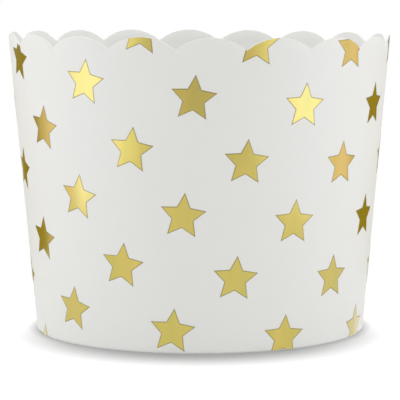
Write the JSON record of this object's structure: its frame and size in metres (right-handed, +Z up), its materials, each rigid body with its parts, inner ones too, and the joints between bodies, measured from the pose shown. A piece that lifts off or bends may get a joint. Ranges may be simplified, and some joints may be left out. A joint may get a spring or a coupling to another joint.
{
  "type": "paper baking cup",
  "caption": "Straight-sided paperboard baking cup, scalloped at the rim, with a recessed flat base and a scatter of foil stars on the outside.",
  "frame": {"origin": "centre of the circle that the cup stands on, in the plane of the table", "axes": "+Z up along the cup's axis, -Y towards the front of the picture, +X to its right"},
  "size_m": [0.0699, 0.07, 0.0544],
  "materials": {
    "board": "coated white paperboard, satin",
    "base_board": "greaseproof white paperboard, matt",
    "gold_foil": "hot-stamped gold foil, bright"
  },
  "bodies": {
    "root": {"side_wall": "board", "base_disc": "base_board", "foil_star_low1_left5": "gold_foil", "foil_star_low1_right5": "gold_foil", "foil_star_row1_left1": "gold_foil", "foil_star_row1_left2": "gold_foil", "foil_star_row1_left3": "gold_foil", "foil_star_row1_left4": "gold_foil", "foil_star_row1_right1": "gold_foil", "foil_star_row1_right2": "gold_foil", "foil_star_row1_right3": "gold_foil", "foil_star_row1_right4": "gold_foil", "foil_star_row1_right5": "gold_foil", "foil_star_row1_right6": "gold_foil", "foil_star_row2_left1": "gold_foil", "foil_star_row2_left2": "gold_foil", "foil_star_row2_left3": "gold_foil", "foil_star_row2_left4": "gold_foil", "foil_star_row2_left5": "gold_foil", "foil_star_row2_right1": "gold_foil", "foil_star_row2_right2": "gold_foil", "foil_star_row2_right3": "gold_foil", "foil_star_row2_right4": "gold_foil", "foil_star_row2_right5": "gold_foil", "foil_star_row3_left1": "gold_foil", "foil_star_row3_left2": "gold_foil", "foil_star_row3_left3": "gold_foil", "foil_star_row3_left4": "gold_foil", "foil_star_row3_left5": "gold_foil", "foil_star_row3_right1": "gold_foil", "foil_star_row3_right2": "gold_foil", "foil_star_row3_right3": "gold_foil", "foil_star_row3_right4": "gold_foil", "foil_star_row3_right5": "gold_foil", "foil_star_row3_right6": "gold_foil", "foil_star_row4_left1": "gold_foil", "foil_star_row4_left2": "gold_foil", "foil_star_row4_left3": "gold_foil", "foil_star_row4_left4": "gold_foil", "foil_star_row4_left5": "gold_foil", "foil_star_row4_right1": "gold_foil", "foil_star_row4_right2": "gold_foil", "foil_star_row4_right3": "gold_foil", "foil_star_row4_right4": "gold_foil", "foil_star_row4_right5": "gold_foil", "foil_star_row5_left1": "gold_foil", "foil_star_row5_left2": "gold_foil", "foil_star_row5_left3": "gold_foil", "foil_star_row5_left4": "gold_foil", "foil_star_row5_left5": "gold_foil", "foil_star_row5_right1": "gold_foil", "foil_star_row5_right2": "gold_foil", "foil_star_row5_right3": "gold_foil", "foil_star_row5_right4": "gold_foil", "foil_star_row5_right5": "gold_foil", "foil_star_row6_left1": "gold_foil", "foil_star_row6_left2": "gold_foil", "foil_star_row6_left3": "gold_foil", "foil_star_row6_right1": "gold_foil", "foil_star_row6_right2": "gold_foil"}
  },
  "joints": []
}
